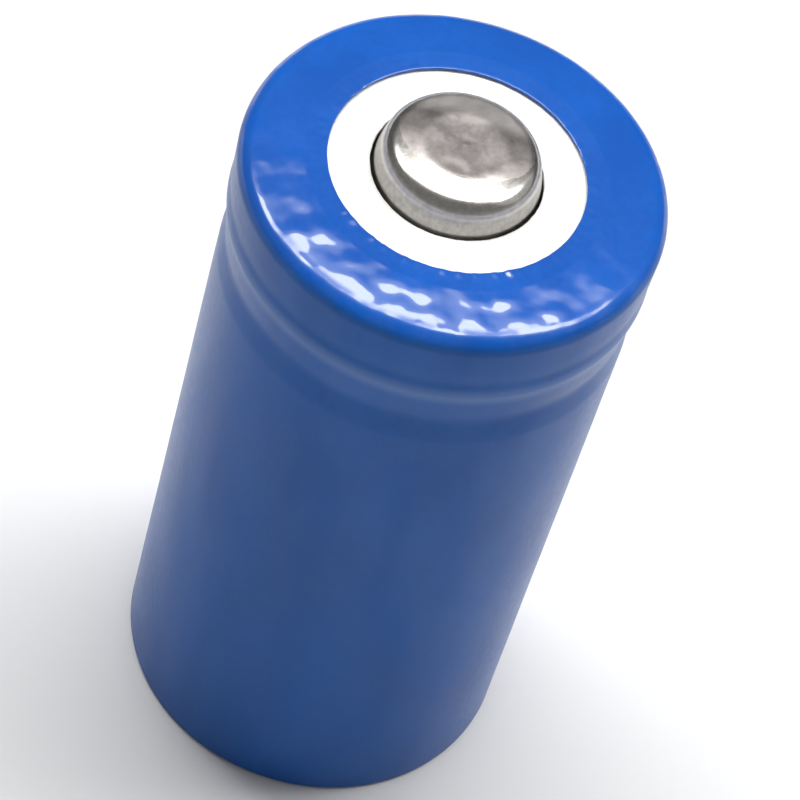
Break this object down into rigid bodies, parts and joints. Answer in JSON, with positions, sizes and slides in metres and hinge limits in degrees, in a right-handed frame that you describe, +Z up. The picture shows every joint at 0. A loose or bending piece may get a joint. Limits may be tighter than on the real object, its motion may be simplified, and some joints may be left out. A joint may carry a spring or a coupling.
{
  "type": "cylindrical battery cell",
  "caption": "Short cylindrical lithium-ion cell with a raised button terminal, white washer and blue shrink sleeve.",
  "frame": {"origin": "centre of the bottom, in the plane that the cell stands on: the underside of the sleeve's folded edge", "axes": "+Z up along the cell's axis, from the negative end to the positive button"},
  "size_m": [0.017, 0.017, 0.034],
  "materials": {
    "blue_shrink_film": "gloss",
    "white_fibre_board": "matte",
    "nickel_plated_steel": "polished",
    "can_steel": "satin",
    "seal_polypropylene": "satin",
    "ptc_polymer": "satin",
    "aluminium_sheet": "satin",
    "insulator_polymer": "satin",
    "polyimide_tape": "gloss",
    "insulator_sheet": "matte",
    "cathode_coating": "matte",
    "anode_coating": "matte",
    "separator_film": "satin",
    "winding_tape_film": "gloss",
    "tab_nickel": "satin"
  },
  "bodies": {
    "root": {"heat_shrink_sleeve": "blue_shrink_film", "insulating_washer": "white_fibre_board", "positive_cap": "nickel_plated_steel", "cell_can": "can_steel", "crimp_gasket": "seal_polypropylene", "ptc_ring": "ptc_polymer", "vent_disc": "aluminium_sheet", "cid_insulator": "insulator_polymer", "contact_plate": "aluminium_sheet", "cathode_tab": "aluminium_sheet", "cathode_tab_tape": "polyimide_tape", "top_insulator": "insulator_sheet", "cathode_sheet": "cathode_coating", "anode_sheet": "anode_coating", "separator_inner": "separator_film", "separator_outer": "separator_film", "winding_tape": "winding_tape_film", "anode_tab": "tab_nickel", "anode_tab_tape": "polyimide_tape", "bottom_insulator": "insulator_sheet"},
    "interrupt_centre": {"vent_disc_centre": "aluminium_sheet"}
  },
  "joints": [
    {"name": "interrupt_lift", "type": "slide", "parent": "root", "child": "interrupt_centre", "axis": [0, 0, 1], "range_m": [0, 0.0007], "deforming": ["vent_disc"]}
  ]
}
